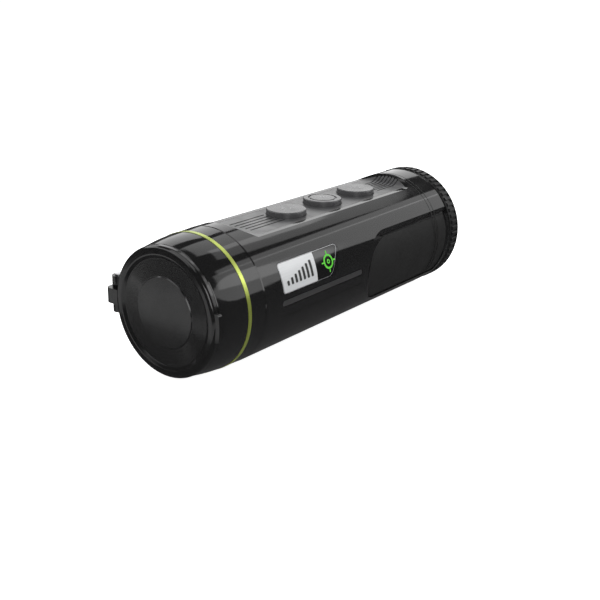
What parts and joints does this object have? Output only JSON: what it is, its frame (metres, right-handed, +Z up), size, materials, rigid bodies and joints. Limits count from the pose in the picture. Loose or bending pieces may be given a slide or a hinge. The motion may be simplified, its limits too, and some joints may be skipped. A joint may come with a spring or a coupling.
{
  "type": "thermal imaging camera",
  "caption": "Pocket thermal imaging monocular: round body, hinged lens cover, objective, top buttons, rubber grips, focusing eyepiece and tripod foot.",
  "frame": {"origin": "mouth of the tripod socket, in the middle of the foot's underside", "axes": "+Y towards the eyepiece along the optical axis, +Z up through the buttons, +X on the user's left, where the badge is"},
  "size_m": [0.0566, 0.1646, 0.0531],
  "materials": {
    "gloss_black": "high gloss",
    "cover_black": "gloss rim, finely textured annulus",
    "accent_lime": "satin anodised look",
    "panel_satin": "fine satin",
    "button_satin": "satin top, gloss side",
    "grip_rubber": "fine stipple",
    "cup_rubber": "soft matte",
    "dial_black": "semi-matte",
    "matte_black": "moulded matte",
    "silver_plate": "bright satin",
    "window_black": "mirror gloss",
    "black_aluminium": "black anodised",
    "germanium": "coated",
    "optical_glass": "coated",
    "display_glass": "gloss",
    "silicone": "soft matte",
    "foam_grey": "closed-cell foam",
    "steel": "brushed",
    "brass": "turned",
    "circuit_green": "solder mask",
    "ceramic_grey": "fired ceramic",
    "chip_black": "moulded",
    "battery_wrap": "shrink sleeve"
  },
  "bodies": {
    "housing": {"front_bezel": "gloss_black", "accent_ring": "accent_lime", "front_housing": "gloss_black", "front_seal": "silicone", "hinge_pin": "steel", "objective_barrel": "black_aluminium", "objective_lens": "germanium", "objective_retainer": "black_aluminium", "rear_objective_lens": "germanium", "rear_lens_retainer": "black_aluminium", "shutter_frame": "black_aluminium", "shutter_motor": "steel", "detector_package": "ceramic_grey", "detector_window": "germanium", "detector_board": "circuit_green", "body_shell": "gloss_black", "top_panel": "panel_satin", "button_gasket": "silicone", "button_board": "circuit_green", "dome_switches": "steel", "badge_plate": "silver_plate", "badge_window": "window_black", "left_grip_pad": "grip_rubber", "right_grip_pad": "grip_rubber", "foot_rail": "matte_black", "tripod_insert": "brass", "foot_screws": "steel", "chassis": "matte_black", "main_board": "circuit_green", "processor_shield": "steel", "memory_chips": "chip_black", "battery": "battery_wrap", "usb_socket": "steel", "rear_plate": "matte_black", "plate_screws": "steel", "eyepiece_tube": "black_aluminium", "display_board": "circuit_green", "display_panel": "display_glass", "ring_seal": "silicone", "eyecup": "cup_rubber"},
    "lens_cover": {"lens_cover": "cover_black", "cover_liner": "foam_grey"},
    "shutter": {"shutter_blade": "black_aluminium"},
    "front_button": {"front_button": "button_satin"},
    "middle_button": {"middle_button": "button_satin"},
    "rear_button": {"rear_button": "button_satin"},
    "port_cover": {"port_cover": "grip_rubber"},
    "dioptre_ring": {"dioptre_ring": "dial_black", "dioptre_clip": "steel"},
    "eyepiece_cell": {"lens_cell": "black_aluminium", "cell_pins": "steel", "front_eye_lens": "optical_glass", "lens_spacer": "black_aluminium", "rear_eye_lens": "optical_glass", "cell_retainer": "black_aluminium"}
  },
  "joints": [
    {"name": "cover_hinge", "type": "hinge", "parent": "housing", "child": "lens_cover", "pos_m": [-0.0278, -0.07315, 0.0268], "axis": [0, 0, -1], "range_deg": [0, 170]},
    {"name": "shutter_swing", "type": "hinge", "parent": "housing", "child": "shutter", "pos_m": [0, -0.043, 0.0118], "axis": [0, -1, 0], "range_deg": [0, 60], "stiffness_Nm_per_rad": 0.0006, "springref_deg": -17.19},
    {"name": "front_button_press", "type": "slide", "parent": "housing", "child": "front_button", "axis": [0, 0, -1], "range_m": [0, 0.0008], "stiffness_N_per_m": 2500, "springref_m": -0.0006},
    {"name": "middle_button_press", "type": "slide", "parent": "housing", "child": "middle_button", "axis": [0, 0, -1], "range_m": [0, 0.0008], "stiffness_N_per_m": 2500, "springref_m": -0.0006},
    {"name": "rear_button_press", "type": "slide", "parent": "housing", "child": "rear_button", "axis": [0, 0, -1], "range_m": [0, 0.0008], "stiffness_N_per_m": 2500, "springref_m": -0.0006},
    {"name": "port_cover_hinge", "type": "hinge", "parent": "housing", "child": "port_cover", "pos_m": [-0.02515, -0.0265, 0.02295], "axis": [0, -1, 0], "range_deg": [0, 90], "stiffness_Nm_per_rad": 0.0012, "springref_deg": -14.32},
    {"name": "dioptre_turn", "type": "hinge", "parent": "housing", "child": "dioptre_ring", "pos_m": [0, 0.08, 0.0268], "axis": [0, 1, 0], "range_deg": [-120, 120]},
    {"name": "eyepiece_focus", "type": "slide", "parent": "housing", "child": "eyepiece_cell", "axis": [0, 1, 0], "range_m": [-0.0012, 0.0012]}
  ],
  "couplings": [
    {"joint": "eyepiece_focus", "follows": "dioptre_turn", "m_per_rad": 0.00057}
  ]
}
